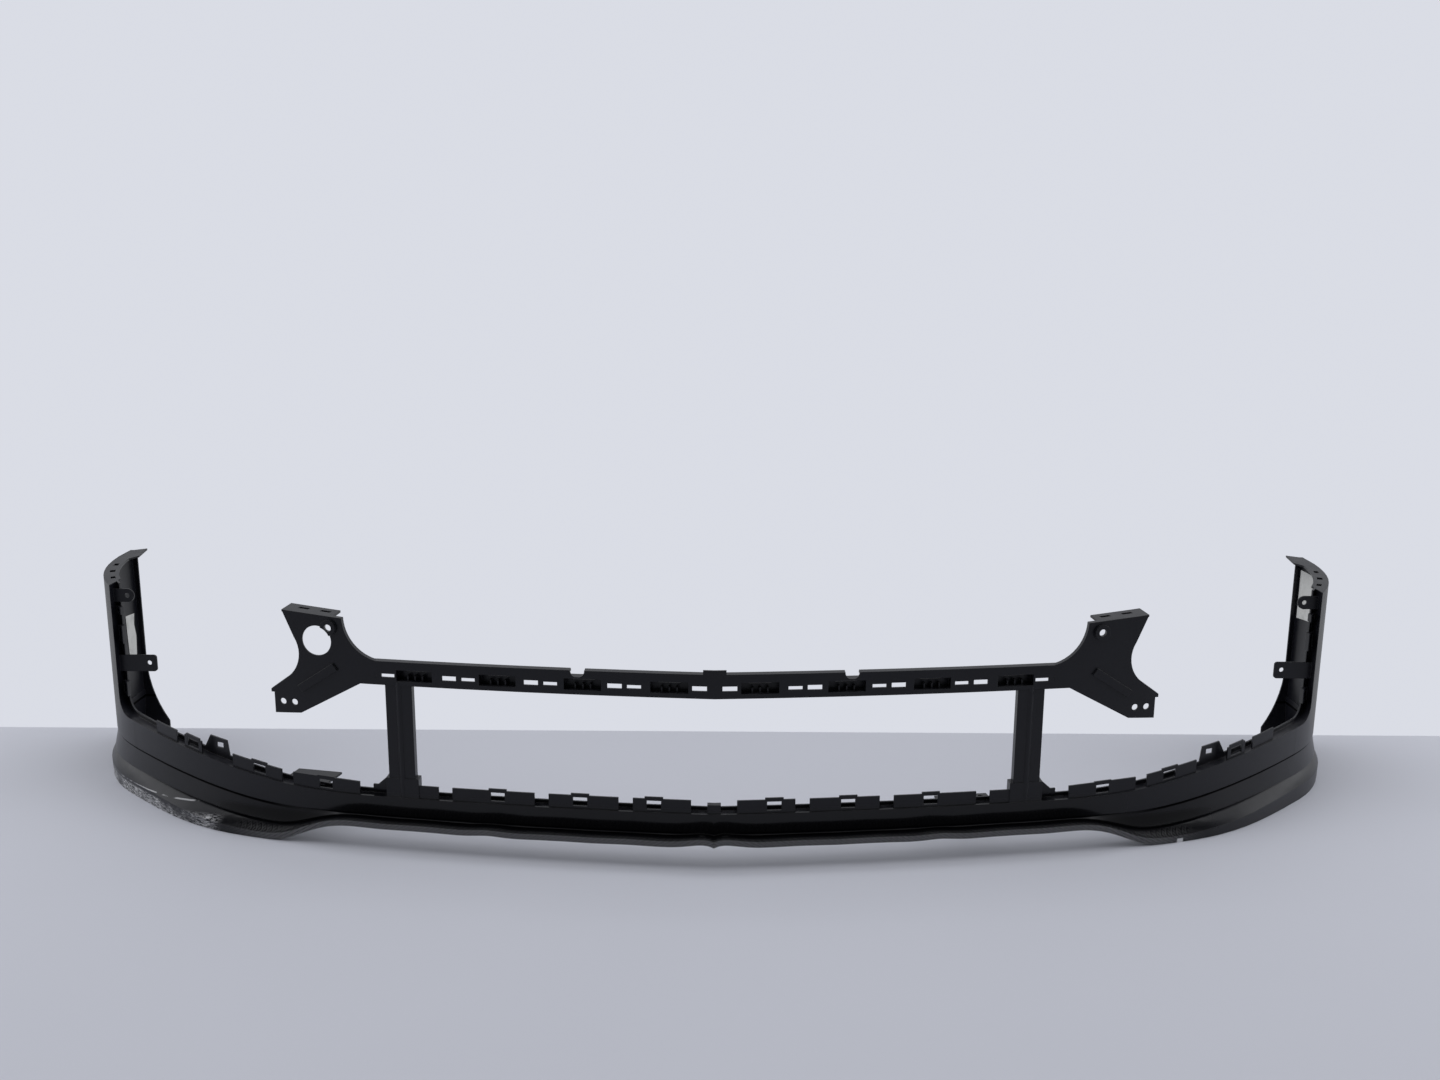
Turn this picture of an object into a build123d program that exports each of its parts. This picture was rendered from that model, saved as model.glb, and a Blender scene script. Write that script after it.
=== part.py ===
# Front bumper spoiler: one black plastic moulding that stands on its lip.
# Millimetres, +X to the viewer's right, +Y to the car's rear, +Z up.
# The origin is the middle of the footprint on the floor.
import functools
import math
import os

from build123d import *

os.makedirs("parts", exist_ok=True)

# Plan of the outer face, seen from above
half_width = 875.0      # outer face of the side skin from the middle plane
nose_angle = 4.0        # sweep of the front at the middle, degrees
front_turn = 11.0       # sweep where the front runs into the shoulder
shoulder_turn = 40.0    # sweep where the shoulder runs into the corner
side_turn = 88.0        # sweep of the side skin
shoulder_radius = 600.0
corner_radius = 275.0
side_end = 418.0        # rear edge of the side skin behind the nose
rear_tip = 428.0        # tip of the top plate behind the nose

# Moulding
skin = 3.0
web = 2.5
frame_wall = 2.8

# Lower bar, heights above the floor
ledge_middle = 57.5
ledge_corner = 100.5
crease_middle = 34.0
crease_corner = 64.0
lip_middle = 27.0       # underside of the lip at the middle plane
lip_face = 7.5          # height of the lip edge at the middle plane
lip_reach = 25.0        # lip ahead of the band above it
lip_reach_corner = 10.0
ledge_depth = 15.0
dip_start = 445.0       # where the lip starts to drop to the floor
dip_end = 545.0

# Corner upright
upright_x = 810.0       # front edge of the upright's skin
upright_top = 277.0     # top at its front edge
top_slope = 3.3         # rise of the top plate to the rear, degrees
strip_width = 8.0
top_plate_width = 19.0

# Grille carrier
beam_bottom = 199.0
beam_top = 228.0
beam_end = 412.0
post_x = 377.0
post_width = 33.0

# Clips and holes
tab_height = 16.0
fixing_hole = 8.0
boss_hole = 9.0
bracket_hole = 6.5
wing_hole = 37.0

nose_y = (lip_reach - rear_tip) / 2
top_of_all = 340.0
depth_of_all = 500.0


def sin_of(turn):
    return math.sin(math.radians(turn))


def cos_of(turn):
    return math.cos(math.radians(turn))


corner_width = corner_radius * (sin_of(side_turn) - sin_of(shoulder_turn))
shoulder_width = shoulder_radius * (sin_of(shoulder_turn) - sin_of(front_turn))
front_width = half_width - corner_width - shoulder_width
front_radius = front_width / (sin_of(front_turn) - sin_of(nose_angle))
plan_arcs = [
    (front_radius, nose_angle, front_turn),
    (shoulder_radius, front_turn, shoulder_turn),
    (corner_radius, shoulder_turn, side_turn),
]


def plan_point(turn, inset=0.0):
    """Point of the plan curve where it has swept back by turn, moved inward by inset."""
    x = 0.0
    y = nose_y
    for radius, start, end in plan_arcs:
        reached = min(max(turn, start), end)
        x += radius * (sin_of(reached) - sin_of(start))
        y += radius * (cos_of(start) - cos_of(reached))
    return x - inset * sin_of(turn), y + inset * cos_of(turn)


def turn_at(x):
    """Sweep of the plan curve at a distance from the middle plane."""
    begin = 0.0
    for radius, start, end in plan_arcs:
        reach = radius * (sin_of(end) - sin_of(start))
        if x <= begin + reach:
            return math.degrees(math.asin(sin_of(start) + (x - begin) / radius))
        begin += reach
    return side_turn


def on_plan(x, inset=0.0):
    return plan_point(turn_at(x), inset)


def side_line_end(inset):
    x, y = plan_point(side_turn, inset)
    run = nose_y + side_end - y
    return x + run * cos_of(side_turn) / sin_of(side_turn), y + run


def plan_edges(inset):
    """Plan curve at one depth, from the middle plane to the rear edge."""
    first = math.degrees(math.asin(front_radius * sin_of(nose_angle) / (front_radius - inset)))
    limits = [first, front_turn, shoulder_turn, side_turn]
    edges = []
    for start, end in zip(limits, limits[1:]):
        points = [plan_point(turn, inset) for turn in (start, (start + end) / 2, end)]
        edges.append(Edge.make_three_point_arc(*[(x, y, 0) for x, y in points]))
    edges.append(Edge.make_line((*plan_point(side_turn, inset), 0), (*side_line_end(inset), 0)))
    return edges


@functools.cache
def layer(inset_front, inset_back):
    """Upright curved slab between two depths behind the outer face."""
    front = plan_edges(inset_front)
    back = plan_edges(inset_back)
    ends = [
        Edge.make_line(front[0] @ 0, back[0] @ 0),
        Edge.make_line(front[-1] @ 1, back[-1] @ 1),
    ]
    return extrude(Face(Wire(front + back + ends)), amount=top_of_all, dir=(0, 0, 1))


def seen_from_front(region):
    return extrude(Plane.XZ * region, amount=depth_of_all, both=True)


def sheet(region, inset_front, inset_back):
    """Front-view region carried by the plan curve between two depths."""
    return seen_from_front(region) & layer(inset_front, inset_back)


def outline(*points):
    return make_face(Polyline(*points, close=True))


def rectangle(x0, z0, x1, z1):
    return outline((x0, z0), (x1, z0), (x1, z1), (x0, z1))


def ease(value, start, end):
    part = min(max((value - start) / (end - start), 0.0), 1.0)
    return part * part * (3 - 2 * part)


def ledge_z(x):
    return ledge_middle + (ledge_corner - ledge_middle) * ease(x, 440, upright_x - 10)


def crease_z(x):
    return crease_middle + (crease_corner - crease_middle) * ease(x, 490, upright_x - 10)


# Upper band and upright skin
bend_x = [470, 540, 600, 660, 720, 770]
ledge_curve = Spline(
    (430, ledge_middle),
    *[(x, ledge_z(x)) for x in bend_x],
    (upright_x, ledge_corner),
    tangents=((1, 0), (1, 0)),
)
crease_curve = Spline(
    (480, crease_middle),
    *[(x, crease_z(x)) for x in bend_x[1:]],
    (upright_x, crease_corner),
    tangents=((1, 0), (1, 0)),
)
far_x = half_width + 40
band_lines = [
    crease_curve,
    Line((upright_x, crease_corner), (far_x, crease_corner)),
    Line((far_x, crease_corner), (far_x, top_of_all)),
    Line((far_x, top_of_all), (upright_x, top_of_all)),
    Line((upright_x, top_of_all), (upright_x, ledge_corner)),
    ledge_curve,
    Line((430, ledge_middle), (-20, ledge_middle)),
    Line((-20, ledge_middle), (-20, crease_middle)),
    Line((-20, crease_middle), (480, crease_middle)),
]
band = make_face(band_lines)
inner_corner = band.vertices().sort_by_distance((upright_x, ledge_corner, 0))[0]
band = fillet(inner_corner, radius=22)
corner = [sheet(band, 0, skin)]

# Ledge behind the band's edge, and the flange along its rear
corner.append(sheet(band - Pos(web, -web) * band, 1, ledge_depth))
rim = Pos(-strip_width, 4.5) * band - Pos(1.5, -1.5) * band
corner.append(sheet(rim, ledge_depth - web, ledge_depth))

pieces = []

# Clip tabs that stand on the ledge: start, end, middle of the window
clip_tabs = [
    (27, 96, 71),
    (113, 197, 159),
    (214, 315, 259),
    (332, 362, None),
    (432, 519, 476),
    (534, 603, 565),
    (650, 678, 664),
    (691, 728, None),
]


def on_ledge(x0, x1, below, above):
    return outline(
        (x0, ledge_z(x0) - below),
        (x1, ledge_z(x1) - below),
        (x1, ledge_z(x1) + above),
        (x0, ledge_z(x0) + above),
    )


def clip_tab(x0, x1, window):
    tab = on_ledge(x0, x1, 1.5, tab_height)
    if window:
        tab += on_ledge(window - 11, window + 11, 1.5, tab_height + 2.4)
        tab -= on_ledge(window - 8.5, window + 8.5, -3, tab_height - 2)
    return sheet(tab, 2, 2 + web)


for start, end, window in clip_tabs:
    pieces.append(clip_tab(start, end, window))
pieces.append(sheet(on_ledge(-20, 8, 1.5, 11), 2, 10))

# Pocket wall with a slanted outer edge behind the ledge
pocket = outline(
    (612, ledge_z(612) - 1.5),
    (655, ledge_z(655) - 1.5),
    (642, ledge_z(640) + 24),
    (616, ledge_z(616) + 25),
)
pocket -= rectangle(622, ledge_z(622) + 13, 632, ledge_z(622) + 20)
pieces.append(sheet(pocket, ledge_depth - web, ledge_depth))


# Lower shell: second band, channel and lip
def shell_section(x, base, outward):
    """Closed wall section at one place along the plan."""
    dip = ease(x, dip_start, dip_end)
    rise = ease(x, 520, 780)
    draw_in = ease(x, 600, 780)
    top = crease_z(x)
    fold = crease_middle - 2 - 17 * dip + 21 * rise
    fold_out = 2 + 4 * dip - 2 * draw_in
    lip_low = lip_middle * (1 - dip)
    lip_high = lip_middle + lip_face - 26.5 * dip + 12 * rise
    reach = lip_reach + (lip_reach_corner - lip_reach) * draw_in
    root_out = fold_out - 3
    root = fold - 2
    lip_depth = 12 - 7 * draw_in
    sag = 1.6 - 3.2 * draw_in
    middle = ((root_out + reach) / 2, (root + lip_high) / 2 - sag)
    back_z = lip_low + (0.35 + 0.35 * draw_in) * (lip_high - lip_low)

    def place(out, z):
        return (base[0] + out * outward[0], base[1] + out * outward[1], z)

    corners = [
        place(-2, top + 8),
        place(-2, top - 0.5),
        place(fold_out, fold),
        place(root_out, root),
        place(reach, lip_high),
        place(reach - 0.5, lip_low),
        place(reach - lip_depth, lip_low),
        place(reach - lip_depth, back_z),
        place(root_out - skin, root - 0.5),
        place(-2 - skin, top - 2),
        place(-2 - skin, top + 8),
    ]
    edges = [Edge.make_line(a, b) for a, b in zip(corners, corners[1:] + corners[:1])]
    edges[3] = Edge.make_three_point_arc(corners[3], place(*middle), corners[4])
    return Face(Wire(edges))


# Even steps along the plan keep the shell's faces smooth
arc_lengths = [radius * math.radians(end - start) for radius, start, end in plan_arcs]
straight = side_end + nose_y - plan_point(side_turn)[1]
step_length = (sum(arc_lengths) + straight) / 26
sections = [shell_section(0, (0, nose_y), (0, -1))]
travelled = step_length
for (radius, start, end), length in zip(plan_arcs, arc_lengths):
    while travelled <= length:
        turn = start + math.degrees(travelled / radius)
        place_xy = plan_point(turn)
        sections.append(shell_section(place_xy[0], place_xy, (sin_of(turn), -cos_of(turn))))
        travelled += step_length
    travelled -= length
sections.append(shell_section(half_width, side_line_end(0), (1, 0)))
pieces.append(loft(sections))

# Rear flange of the side skin, wider towards the foot
rear_x, rear_y = side_line_end(0)
rear_flange = make_face([
    Line((rear_x - 1, top_of_all), (rear_x - 10, top_of_all)),
    Line((rear_x - 10, top_of_all), (rear_x - 10, 120)),
    ThreePointArc((rear_x - 10, 120), (rear_x - 17, 70), (rear_x - 38, 22)),
    Line((rear_x - 38, 22), (rear_x - 38, 8)),
    Line((rear_x - 38, 8), (rear_x + 4, 8)),
    Line((rear_x + 4, 8), (rear_x + 4, 30)),
    Line((rear_x + 4, 30), (rear_x - 1, crease_corner)),
    Line((rear_x - 1, crease_corner), (rear_x - 1, top_of_all)),
])
corner.append(Pos(0, rear_y, 0) * extrude(Plane.XZ * rear_flange, amount=web))

# The upright ends under one sloped plane, with the top plate and its rear tip
front_y = on_plan(upright_x)[1]
slope = Pos(0, front_y, upright_top) * Rot(X=top_slope)
above = Box(4 * half_width, 4 * depth_of_all, 200, align=(Align.CENTER, Align.CENTER, Align.MIN))
slab = Box(4 * half_width, 4 * depth_of_all, web, align=(Align.CENTER, Align.CENTER, Align.MAX))
upright = Part() + corner - slope * above
plate_view = rectangle(upright_x + 1, upright_top - 30, far_x, top_of_all)
tip = outline(
    (rear_x - 1.5, rear_y - 40),
    (rear_x - 1.5, rear_y - 2),
    (rear_x - 20, nose_y + rear_tip),
    (rear_x - 29, rear_y - 34),
    (rear_x - 17, rear_y - 60),
)
top_plate = sheet(plate_view, 1, top_plate_width) & slope * slab
top_plate += extrude(tip, amount=top_of_all) & slope * slab
for turn, across in ((58, 6), (66, 7), (74, 6)):
    top_plate -= Pos(*plan_point(turn, 11), upright_top) * Rot(Z=turn) * Box(12, across, 40)
pieces.append(upright)
pieces.append(top_plate)

# Tabs of the upright that face forward
tab_y = on_plan(upright_x, ledge_depth - web)[1] + 4
boss_spot = Pos(upright_x - 18, upright_top - 16)
boss_tab = rectangle(upright_x - 18, upright_top - 25, upright_x + 4, upright_top - 7)
boss_tab += boss_spot * Circle(9)
boss_tab -= boss_spot * Circle(bracket_hole / 2)
pieces.append(Pos(0, tab_y, 0) * extrude(Plane.XZ * boss_tab, amount=web))
bracket = rectangle(upright_x - 50, upright_top - 122, upright_x + 4, upright_top - 99)
bracket = fillet(bracket.vertices().group_by(Axis.X)[0], radius=4)
bracket -= Pos(upright_x - 40, upright_top - 110) * Circle(bracket_hole / 2)
pieces.append(Pos(0, tab_y, 0) * extrude(Plane.XZ * bracket, amount=web))
for below_top, tall in ((81, 24), (155, 20), (41, 10)):
    low = upright_top - below_top
    clip = rectangle(upright_x - 12, low, upright_x + 3, low + tall)
    clip -= rectangle(upright_x - 9, low + 3, upright_x - 2, low + tall - 3)
    pieces.append(sheet(clip, ledge_depth - 6, ledge_depth))

# Grille beam, a channel open to the rear
beam = rectangle(-20, beam_bottom, beam_end, beam_top)
beam += rectangle(-20, beam_top - 1, 13.5, beam_top + 5)
recess_low = beam_bottom + 5.5
recess_high = beam_bottom + 19
recesses = [52.5 + 101.3 * k for k in range(4)]
for k in range(5):
    middle = 17.5 + 98.7 * k
    beam -= rectangle(middle - 8.5, beam_bottom + 9, middle + 8.5, beam_bottom + 15)
for k in range(4):
    middle = 93.5 + 98.5 * k
    beam -= rectangle(middle - 8.2, beam_bottom + 9.5, middle + 8.2, beam_bottom + 14)
for middle in recesses:
    beam -= rectangle(middle - 22, recess_low, middle + 22, recess_high)
notch = Pos(160, beam_top) * Circle(8.5)
pieces.append(sheet(beam - notch, 0.5, 0.5 + frame_wall))
pieces.append(sheet(rectangle(-20, beam_bottom, beam_end, beam_bottom + web), 1, 9))
pieces.append(sheet(rectangle(-20, beam_top - web, beam_end, beam_top) - notch, 1, 11))
for middle in recesses:
    outside = rectangle(middle - 24, recess_low - 2, middle + 24, recess_high + 2)
    inside = rectangle(middle - 22, recess_low, middle + 22, recess_high)
    slot = rectangle(middle - 13, recess_high - 4, middle + 13, recess_high - 1)
    pieces.append(sheet(outside - inside, 1, 14))
    pieces.append(sheet(outside - slot, 12, 14))
    for step in (-9, 0, 9):
        rib = rectangle(middle + step - 1, recess_low - 1, middle + step + 1, recess_low + 6)
        pieces.append(sheet(rib, 5, 13))

# Post with a rounded ridge, side walls and a boxed foot
post_left = post_x - post_width / 2
post_right = post_x + post_width / 2
post_top = beam_bottom + 4
foot_z = ledge_middle - 1.5
pieces.append(sheet(rectangle(post_left, foot_z, post_right, post_top), 2, 2 + web))
for edge_x in (post_left, post_right - web):
    pieces.append(sheet(rectangle(edge_x, foot_z, edge_x + web, post_top), 3, 13))
ridge = Cylinder(4, post_top - foot_z, align=(Align.CENTER, Align.CENTER, Align.MIN))
pieces.append(Pos(*on_plan(post_x, 4), foot_z) * ridge)
foot = rectangle(post_left - 4, foot_z, post_right + 4, foot_z + 26)
hollow = rectangle(post_left - 1.5, foot_z - 1, post_right + 1.5, foot_z + 23.5)
pieces.append(sheet(foot - hollow, 1, ledge_depth))
pieces.append(sheet(foot, 1, 1 + web))
gusset = outline(
    (post_right + 2, foot_z + 26),
    (post_right + 2, foot_z),
    (post_right + 24, foot_z),
    (post_right + 24, foot_z + 12),
    (post_right + 18, foot_z + 12),
)
pieces.append(sheet(gusset, ledge_depth - 4, ledge_depth - 4 + web))


# End wing of the grille carrier, from the end of the beam
def wing_point(x, z):
    return (beam_end + x, beam_bottom + z)


beam_height = beam_top - beam_bottom
wing = make_face([
    Line(wing_point(-8, 0), wing_point(-8, beam_height)),
    ThreePointArc(wing_point(-8, beam_height), wing_point(22, beam_height + 20), wing_point(32, 79)),
    Polyline(wing_point(32, 79), wing_point(108, 86), wing_point(94, 53)),
    ThreePointArc(wing_point(94, 53), wing_point(89, 29), wing_point(103, 4)),
    Polyline(
        wing_point(103, 4),
        wing_point(128, -14),
        wing_point(128, -18),
        wing_point(124, -18),
        wing_point(124, -44),
        wing_point(90, -42),
        wing_point(12, 0),
        wing_point(-8, 0),
    ),
])
wing_rim = wing - offset(wing, amount=-2.2)
wing_rim -= outline(
    wing_point(-10, 1),
    wing_point(-10, beam_height - 1),
    wing_point(-4, beam_height - 1),
    wing_point(-4, 1),
)
boss_at = Pos(*wing_point(49, 67))
wing_holes = boss_at * Circle(boss_hole / 2)
for x in (98, 113):
    wing_holes += Pos(*wing_point(x, -29)) * Circle(fixing_hole / 2)
pieces.append(sheet(wing - wing_holes, 0.5, 0.5 + frame_wall))
pieces.append(sheet(wing_rim - boss_at * Circle(boss_hole / 2), 1, 8))
pieces.append(sheet(boss_at * (Circle(9.5) - Circle(boss_hole / 2)), -3, 1.5))
bead = outline(wing_point(40, 15), wing_point(86, -15), wing_point(92, -7), wing_point(46, 23))
pieces.append(sheet(bead, -2, 1.5))
shelf = outline(wing_point(44, 77.5), wing_point(108, 83.4), wing_point(108, 86), wing_point(44, 80.1))
shelf_part = sheet(shelf, 1, 33)
for x in (62, 90):
    slot_x, slot_z = wing_point(x, 81)
    shelf_part -= Pos(*on_plan(slot_x, 20), slot_z) * Rot(Z=turn_at(slot_x)) * Box(13, 6, 30)
pieces.append(shelf_part)

# Both sides, with the few places where they differ
half = Part() + pieces
body = half + mirror(half, about=Plane.YZ)
hole_x, hole_z = wing_point(65, 50)
hole_y = on_plan(hole_x)[1]
hole_left = Pos(-hole_x, hole_z) * Circle(wing_hole / 2)
body -= Pos(0, hole_y + 20, 0) * extrude(Plane.XZ * hole_left, amount=40)
flat = Align.CENTER, Align.CENTER, Align.MIN
plate_x, plate_y = on_plan(513, ledge_depth - web)
plate = Pos(0, 19, 0) * Box(60, 42, web, align=flat) - Pos(-8, 8, 0) * Box(14, 10, 4 * web)
extras = [Pos(-plate_x, plate_y, ledge_z(513) - web) * Rot(Z=-turn_at(513)) * plate]
for x in (284, 330):
    small = Pos(0, 10, 0) * Box(20, 22, web, align=flat) - Pos(0, 13, 0) * Cylinder(3, 4 * web)
    extras.append(Pos(*on_plan(x, ledge_depth - web), ledge_z(x) - web) * Rot(Z=turn_at(x)) * small)
body += extras


# Blank rests of paper stickers on the inner faces of the side skins
def label(*profile):
    """Paper on the inner face, given by distance behind the nose and height."""
    view = outline(*[(nose_y + back, z) for back, z in profile])
    return layer(skin + 0.2, skin + 0.6) & extrude(Plane.YZ * view, amount=4 * half_width, both=True)


label_right = label((350, 203), (350, 268), (411, 270), (411, 197))
label_left = label((376, 196), (404, 194), (401, 178), (405, 160), (402, 131), (379, 134))
label_left = mirror(label_left, about=Plane.YZ)

export_step(body, "parts/spoiler_body.step")
export_step(label_left, "parts/label_left.step")
export_step(label_right, "parts/label_right.step")
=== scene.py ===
import math

import bpy
from mathutils import Matrix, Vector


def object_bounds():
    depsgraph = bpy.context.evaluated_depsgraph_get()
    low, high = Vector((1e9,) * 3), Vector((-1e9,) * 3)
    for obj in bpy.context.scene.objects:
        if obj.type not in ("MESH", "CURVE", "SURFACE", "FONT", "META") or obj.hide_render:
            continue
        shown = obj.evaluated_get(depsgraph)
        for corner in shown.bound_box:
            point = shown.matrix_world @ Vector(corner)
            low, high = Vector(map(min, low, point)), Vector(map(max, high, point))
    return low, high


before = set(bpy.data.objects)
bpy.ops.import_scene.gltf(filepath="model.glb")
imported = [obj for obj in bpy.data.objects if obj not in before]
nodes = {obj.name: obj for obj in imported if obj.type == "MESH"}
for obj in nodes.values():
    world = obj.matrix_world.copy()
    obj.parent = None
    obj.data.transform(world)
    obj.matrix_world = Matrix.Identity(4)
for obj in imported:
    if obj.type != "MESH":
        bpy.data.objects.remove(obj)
cad_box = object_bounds()
scene = bpy.context.scene
scene.view_settings.view_transform = "Standard"

# Plan of the outer face, metres: Y at the middle plane, slope there, bend per metre
band_nose = -0.2015
nose_slope = 0.0699
front_bend = 0.121
shoulder_from = 0.5
shoulder_bend = 0.86

# Step under the upper band: height in the middle, rise to the corner, where it rises
step_middle = 0.034
step_rise = 0.030
step_from = 0.49
step_to = 0.80

# Woven look of the lip, radians of one tow per metre
tow_rate = 1700.0
tow_lean = 1.4

# Scrapes on the left corner of the lip and the scratch above them
scrape_from = -0.835
scrape_to = -0.640
scrape_top = 0.0125
scratch_from = -0.800
scratch_to = -0.665
scratch_middle = -0.72
scratch_height = 0.0205
nick_from = 0.571
nick_to = 0.577

# Booth and camera of the photograph
floor_half = 6.0
wall_gap = 0.015
photo_width_px = 1440
photo_focal_px = 1150
camera_place = (0.005, -1.470, 0.620)
camera_pitch = 10.46
camera_roll = 0.36


class Graph:
    """Small helper that writes shader nodes as formulas."""

    def __init__(self, name):
        self.material = bpy.data.materials.new(name)
        self.material.use_nodes = True
        self.tree = self.material.node_tree
        self.tree.nodes.clear()
        self.output = self.tree.nodes.new("ShaderNodeOutputMaterial")
        self.shader = self.tree.nodes.new("ShaderNodeBsdfPrincipled")
        self.link(self.shader.outputs["BSDF"], self.output.inputs["Surface"])
        place = self.tree.nodes.new("ShaderNodeTexCoord").outputs["Object"]
        split = self.tree.nodes.new("ShaderNodeSeparateXYZ")
        self.link(place, split.inputs[0])
        self.place = place
        self.x, self.y, self.z = split.outputs

    def link(self, source, socket):
        self.tree.links.new(source, socket)

    def feed(self, value, socket):
        if isinstance(value, bpy.types.NodeSocket):
            self.link(value, socket)
        else:
            socket.default_value = value

    def math(self, operation, *values):
        node = self.tree.nodes.new("ShaderNodeMath")
        node.operation = operation
        for value, socket in zip(values, node.inputs):
            self.feed(value, socket)
        return node.outputs[0]

    def add(self, a, b):
        return self.math("ADD", a, b)

    def sub(self, a, b):
        return self.math("SUBTRACT", a, b)

    def mul(self, a, b):
        return self.math("MULTIPLY", a, b)

    def ramp(self, value, low, high):
        """0 below low, 1 above high, smooth between; low may be the larger."""
        node = self.tree.nodes.new("ShaderNodeMapRange")
        node.interpolation_type = "SMOOTHSTEP"
        node.inputs["From Min"].default_value = min(low, high)
        node.inputs["From Max"].default_value = max(low, high)
        node.inputs["To Min"].default_value = 0.0 if low < high else 1.0
        node.inputs["To Max"].default_value = 1.0 if low < high else 0.0
        self.feed(value, node.inputs["Value"])
        return node.outputs["Result"]

    def between(self, value, low, high, soft):
        return self.mul(self.ramp(value, low - soft, low), self.ramp(value, high + soft, high))

    def vector(self, x, y, z):
        node = self.tree.nodes.new("ShaderNodeCombineXYZ")
        for value, socket in zip((x, y, z), node.inputs):
            self.feed(value, socket)
        return node.outputs[0]

    def noise(self, scale, detail=3.0, where=None, rough=0.5):
        node = self.tree.nodes.new("ShaderNodeTexNoise")
        node.inputs["Scale"].default_value = scale
        node.inputs["Detail"].default_value = detail
        node.inputs["Roughness"].default_value = rough
        self.link(where or self.place, node.inputs["Vector"])
        return node.outputs["Fac"]

    def mix(self, factor, a, b):
        node = self.tree.nodes.new("ShaderNodeMix")
        node.data_type = "RGBA"
        self.feed(factor, node.inputs["Factor"])
        self.feed(a, node.inputs[6])
        self.feed(b, node.inputs[7])
        return node.outputs[2]

    def blend(self, factor, a, b):
        node = self.tree.nodes.new("ShaderNodeMix")
        self.feed(factor, node.inputs["Factor"])
        self.feed(a, node.inputs[2])
        self.feed(b, node.inputs[3])
        return node.outputs[0]

    def bump(self, height, strength, distance, normal=None):
        node = self.tree.nodes.new("ShaderNodeBump")
        node.inputs["Strength"].default_value = strength
        node.inputs["Distance"].default_value = distance
        self.link(height, node.inputs["Height"])
        if normal:
            self.link(normal, node.inputs["Normal"])
        return node.outputs["Normal"]


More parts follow.
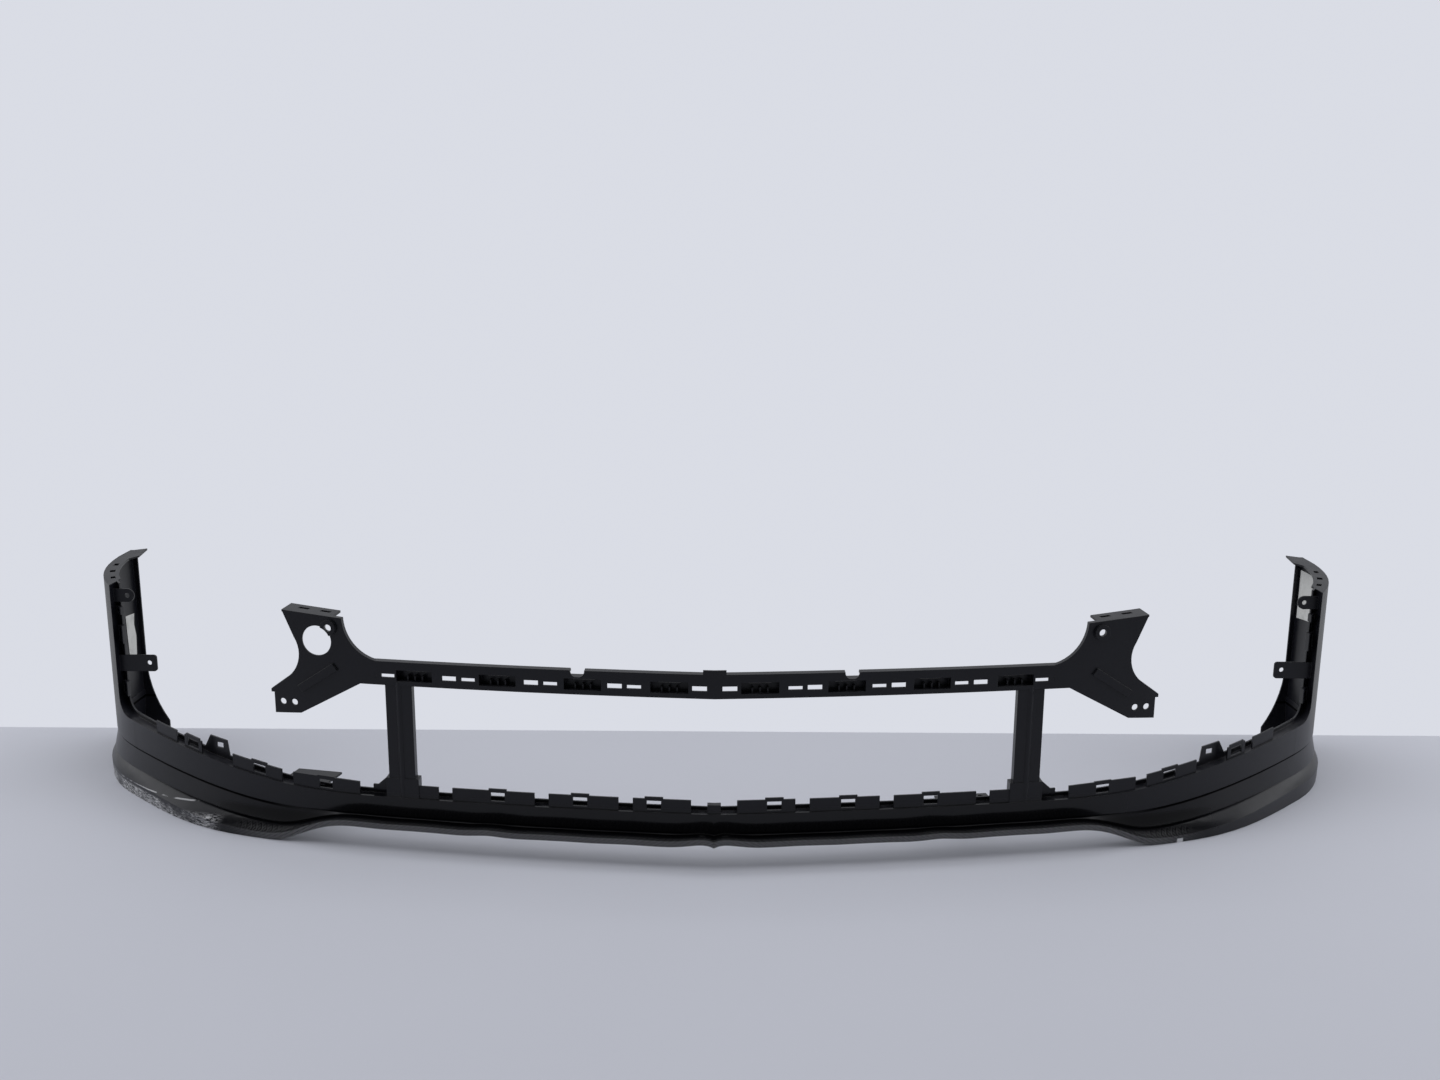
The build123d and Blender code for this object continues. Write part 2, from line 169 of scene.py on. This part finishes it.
def black_plastic():
    g = Graph("black_plastic")
    side = g.math("ABSOLUTE", g.x)
    facing = g.tree.nodes.new("ShaderNodeNewGeometry")
    up = g.tree.nodes.new("ShaderNodeSeparateXYZ")
    g.link(facing.outputs["Normal"], up.inputs[0])
    up_z = up.outputs["Z"]

    # Distance ahead of the upper band, from the plan of the outer face
    sweep = g.add(g.mul(side, nose_slope), g.mul(g.mul(side, side), front_bend))
    shoulder = g.math("MAXIMUM", g.sub(side, shoulder_from), 0.0)
    sweep = g.add(sweep, g.mul(g.mul(shoulder, shoulder), shoulder_bend))
    ahead = g.sub(g.add(sweep, band_nose), g.y)

    # Woven look of the lip, which fades towards the corners
    lip = g.mul(g.ramp(ahead, 0.004, 0.018), g.ramp(side, 0.62, 0.53))
    lip = g.mul(lip, g.ramp(g.z, 0.040, 0.036))
    front_face = g.ramp(up_z, 0.55, 0.35)
    tow_a = g.math("SINE", g.mul(g.add(side, g.mul(g.z, tow_lean)), tow_rate))
    tow_b = g.math("SINE", g.mul(g.sub(side, g.mul(g.z, tow_lean)), tow_rate))
    lay = g.math("SINE", g.mul(g.add(side, g.add(g.z, g.mul(ahead, 0.6))), tow_rate / 2))
    weave = g.blend(g.ramp(lay, -0.25, 0.25), tow_a, tow_b)
    weave = g.ramp(weave, -0.7, 0.7)
    # Painted shade: the weave is drawn fainter on faces that point up
    weave_here = g.mul(lip, g.blend(front_face, 0.35, 1.0))

    # Glossy stretch of the middle and the channel, satin elsewhere; the darker colour there is a
    # painted dark reflection, the lower roughness is the real gloss
    low = g.ramp(g.z, 0.066, 0.056)
    middle = g.mul(low, g.ramp(side, 0.56, 0.42))
    channel = g.mul(g.ramp(g.z, 0.034, 0.026), g.ramp(side, 0.66, 0.58))
    gloss_and_painted_reflection = g.math("MAXIMUM", middle, channel)

    cloud = g.noise(14.0, 4.0)
    speckle = g.noise(420.0, 2.0)
    # Lighter patches on faces that point up, above the lip
    upward_pale_patches = g.mul(g.ramp(up_z, 0.55, 0.95), g.ramp(g.noise(60.0, 5.0), 0.35, 0.75))
    upward_pale_patches = g.mul(upward_pale_patches, g.ramp(g.z, 0.040, 0.055))
    colour = g.mix(cloud, (0.0050, 0.0052, 0.0075, 1), (0.0095, 0.0098, 0.0135, 1))
    # Painted dark reflection: the glossy middle and the channel are darkened in colour
    colour = g.mix(gloss_and_painted_reflection, colour, (0.0030, 0.0031, 0.0040, 1))
    colour = g.mix(g.mul(upward_pale_patches, 0.35), colour, (0.060, 0.060, 0.068, 1))
    colour = g.mix(g.mul(weave_here, g.mul(weave, 0.85)), colour, (0.220, 0.220, 0.225, 1))

    # Painted shade: a dark line in the step under the upper band
    step_z = g.add(step_middle, g.mul(g.ramp(side, step_from, step_to), step_rise))
    painted_step_shade = g.between(g.sub(g.z, step_z), -0.0030, -0.0002, 0.0006)
    painted_step_shade = g.mul(painted_step_shade, g.ramp(side, 0.50, 0.56))
    colour = g.mix(painted_step_shade, colour, (0.0010, 0.0010, 0.0012, 1))

    # Scrapes on the left corner of the lip, and a nick on the right
    corner = g.between(g.x, scrape_from, scrape_to, 0.030)
    scrape_zone = g.mul(corner, g.between(g.z, 0.0005, scrape_top, 0.0035))
    along = g.vector(g.mul(g.x, 9.0), g.mul(g.y, 9.0), g.mul(g.z, 60.0))
    streaks = g.noise(16.0, 7.0, along, 0.75)
    patches = g.ramp(g.noise(24.0, 4.0), 0.30, 0.55)
    scrape = g.mul(g.mul(scrape_zone, patches), g.ramp(streaks, 0.47, 0.55))
    line_height = g.add(scratch_height, g.mul(g.sub(g.x, scratch_middle), 0.035))
    line = g.math("ABSOLUTE", g.sub(g.z, line_height))
    scratch = g.mul(g.between(g.x, scratch_from, scratch_to, 0.010), g.ramp(line, 0.0009, 0.0003))
    scratch = g.mul(scratch, g.ramp(g.noise(55.0, 3.0), 0.40, 0.55))
    nick = g.mul(g.between(g.x, nick_from, nick_to, 0.002), g.between(g.z, 0.0, 0.004, 0.002))
    wear = g.math("MAXIMUM", g.math("MAXIMUM", scrape, g.mul(scratch, 0.8)), nick)
    colour = g.mix(wear, colour, (0.66, 0.66, 0.67, 1))
    g.link(colour, g.shader.inputs["Base Color"])

    rough = g.add(0.29, g.mul(cloud, 0.10))
    rough = g.blend(gloss_and_painted_reflection, rough, 0.12)
    rough = g.blend(weave_here, rough, 0.26)
    rough = g.blend(wear, rough, 0.70)
    rough = g.add(rough, g.mul(upward_pale_patches, 0.10))
    g.link(rough, g.shader.inputs["Roughness"])
    # Painted shade also takes the sheen out of the dark step line
    g.link(g.blend(painted_step_shade, 0.30, 0.02), g.shader.inputs["Specular IOR Level"])

    grain = g.mul(speckle, g.sub(1.0, gloss_and_painted_reflection))
    soft_edge = g.tree.nodes.new("ShaderNodeBevel")
    soft_edge.samples = 4
    soft_edge.inputs["Radius"].default_value = 0.0012
    normal = g.bump(grain, 0.10, 0.0004, soft_edge.outputs["Normal"])
    normal = g.bump(g.mul(weave, weave_here), 0.35, 0.0003, normal)
    normal = g.bump(g.mul(wear, streaks), 0.40, 0.0005, normal)
    g.link(normal, g.shader.inputs["Normal"])
    return g.material


def label_paper():
    g = Graph("label_paper")
    fibre = g.noise(900.0, 3.0)
    stain = g.noise(45.0, 4.0)
    colour = g.mix(g.ramp(stain, 0.45, 0.8), (0.70, 0.70, 0.67, 1), (0.52, 0.52, 0.49, 1))
    g.link(colour, g.shader.inputs["Base Color"])
    g.link(g.add(0.72, g.mul(fibre, 0.15)), g.shader.inputs["Roughness"])
    g.link(g.bump(g.add(fibre, g.mul(stain, 3.0)), 0.25, 0.0003), g.shader.inputs["Normal"])
    return g.material


def dress(name, material):
    for slot in nodes[name].material_slots:
        slot.material = material


dress("spoiler_body", black_plastic())
paper = label_paper()
dress("label_left", paper)
dress("label_right", paper)


# Pale floor, which gives way to the pale background just behind the part
wall_line = cad_box[1][1] + wall_gap
floor_mesh = bpy.data.meshes.new("floor")
front_edge = [(-floor_half, -floor_half, 0), (floor_half, -floor_half, 0)]
rear_edge = [(floor_half, wall_line, 0), (-floor_half, wall_line, 0)]
floor_mesh.from_pydata(front_edge + rear_edge, [], [(0, 1, 2, 3)])
floor = bpy.data.objects.new("floor", floor_mesh)
scene.collection.objects.link(floor)
g = Graph("pale_floor")
tone = g.noise(1.4, 3.0)
g.link(g.mix(tone, (0.58, 0.59, 0.645, 1), (0.62, 0.63, 0.685, 1)), g.shader.inputs["Base Color"])
g.shader.inputs["Roughness"].default_value = 0.75
floor.data.materials.append(g.material)


# Soft light all round, weaker from the open front
world = bpy.data.worlds.new("studio")
scene.world = world
world.use_nodes = True
tree = world.node_tree
tree.nodes.clear()
out = tree.nodes.new("ShaderNodeOutputWorld")
mixer = tree.nodes.new("ShaderNodeMixShader")
sky = tree.nodes.new("ShaderNodeBackground")
seen = tree.nodes.new("ShaderNodeBackground")
path = tree.nodes.new("ShaderNodeLightPath")
coord = tree.nodes.new("ShaderNodeTexCoord")
split = tree.nodes.new("ShaderNodeSeparateXYZ")
open_front = tree.nodes.new("ShaderNodeMapRange")
open_front.inputs["From Min"].default_value = -0.95
open_front.inputs["From Max"].default_value = -0.10
open_front.inputs["To Min"].default_value = 0.12
open_front.inputs["To Max"].default_value = 0.55
tree.links.new(coord.outputs["Generated"], split.inputs[0])
tree.links.new(split.outputs["Y"], open_front.inputs["Value"])
tree.links.new(open_front.outputs["Result"], sky.inputs["Strength"])
sky.inputs["Color"].default_value = (0.93, 0.95, 1.0, 1)
seen.inputs["Color"].default_value = (0.70, 0.72, 0.785, 1)
tree.links.new(path.outputs["Is Camera Ray"], mixer.inputs["Fac"])
tree.links.new(sky.outputs[0], mixer.inputs[1])
tree.links.new(seen.outputs[0], mixer.inputs[2])
tree.links.new(mixer.outputs[0], out.inputs["Surface"])


def soft_lamp(name, place, turn, size, watts):
    lamp = bpy.data.lights.new(name, "AREA")
    lamp.shape = "RECTANGLE"
    lamp.size, lamp.size_y = size
    lamp.energy = watts
    lamp.color = (0.96, 0.97, 1.0)
    holder = bpy.data.objects.new(name, lamp)
    holder.location = place
    holder.rotation_euler = [math.radians(angle) for angle in turn]
    scene.collection.objects.link(holder)


soft_lamp("overhead", (0, 0.0, 2.2), (0, 0, 0), (4.0, 2.4), 24)
soft_lamp("left_side", (-1.9, 0.0, 0.8), (0, -75, 0), (1.2, 1.4), 5)
soft_lamp("right_side", (1.9, 0.0, 0.8), (0, 75, 0), (1.2, 1.4), 5)


# Camera of the photograph, worked out from the edges of its booth
camera_data = bpy.data.cameras.new("camera")
camera_data.sensor_width = 36.0
camera_data.lens = camera_data.sensor_width * photo_focal_px / photo_width_px
camera = bpy.data.objects.new("camera", camera_data)
tilt = Matrix.Rotation(math.radians(90 - camera_pitch), 4, "X")
roll = Matrix.Rotation(math.radians(camera_roll), 4, "Z")
camera.matrix_world = Matrix.Translation(camera_place) @ tilt @ roll
scene.collection.objects.link(camera)
scene.camera = camera
